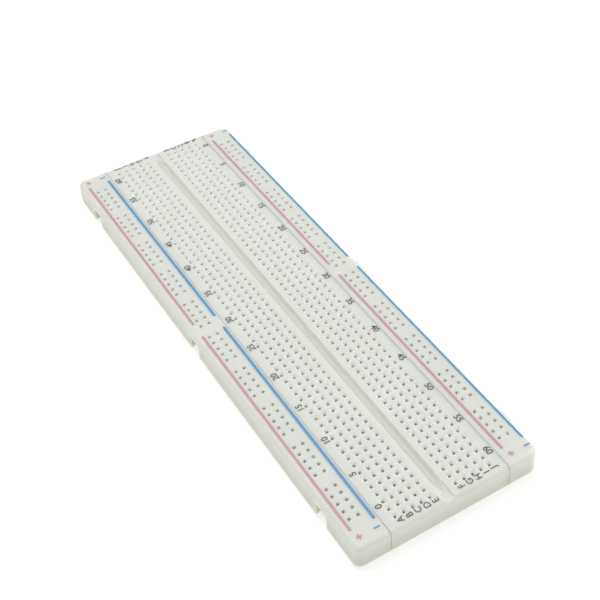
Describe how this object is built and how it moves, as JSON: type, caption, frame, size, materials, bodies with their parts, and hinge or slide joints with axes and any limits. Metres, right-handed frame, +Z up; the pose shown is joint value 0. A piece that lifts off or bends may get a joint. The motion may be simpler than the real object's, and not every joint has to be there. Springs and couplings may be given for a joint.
{
  "type": "solderless breadboard",
  "caption": "Full-size solderless breadboard: a terminal strip with a centre groove and a detachable power rail on each long side, over sprung contact clips and foam backing.",
  "frame": {"origin": "under the middle of the terminal strip, on the surface that the board rests on", "axes": "+X along the length, +Y towards the left power rail (beside row A), +Z up out of the tie points"},
  "size_m": [0.165, 0.0557, 0.0085],
  "materials": {
    "housing": "satin moulded thermoplastic, warm greenish white",
    "contact": "nickel-plated phosphor bronze spring strip",
    "foam": "double-sided adhesive foam tape, matt white",
    "liner": "siliconised release paper, cream",
    "ink_red": "screen-printed ink",
    "ink_blue": "screen-printed ink",
    "ink_black": "screen-printed ink"
  },
  "bodies": {
    "left_rail": {"left_rail_housing": "housing", "left_plus_bus_near": "contact", "left_plus_bus_far": "contact", "left_minus_bus_near": "contact", "left_minus_bus_far": "contact", "left_rail_foam_pad": "foam", "left_rail_release_liner": "liner"},
    "terminal": {"terminal_housing": "housing", "column_clips_ae_1": "contact", "column_clips_fj_1": "contact", "column_clips_ae_2": "contact", "column_clips_fj_2": "contact", "column_clips_ae_3": "contact", "column_clips_fj_3": "contact", "column_clips_ae_4": "contact", "column_clips_fj_4": "contact", "column_clips_ae_5": "contact", "column_clips_fj_5": "contact", "column_clips_ae_6": "contact", "column_clips_fj_6": "contact", "column_clips_ae_7": "contact", "column_clips_fj_7": "contact", "terminal_foam_pad": "foam", "terminal_release_liner": "liner"},
    "right_rail": {"right_rail_housing": "housing", "right_plus_bus_near": "contact", "right_plus_bus_far": "contact", "right_minus_bus_near": "contact", "right_minus_bus_far": "contact", "right_rail_foam_pad": "foam", "right_rail_release_liner": "liner"}
  },
  "joints": [
    {"name": "terminal_lift", "type": "slide", "parent": "left_rail", "child": "terminal", "axis": [0, 0, 1], "range_m": [0, 0.008]},
    {"name": "right_rail_lift", "type": "slide", "parent": "terminal", "child": "right_rail", "axis": [0, 0, 1], "range_m": [0, 0.008]}
  ]
}
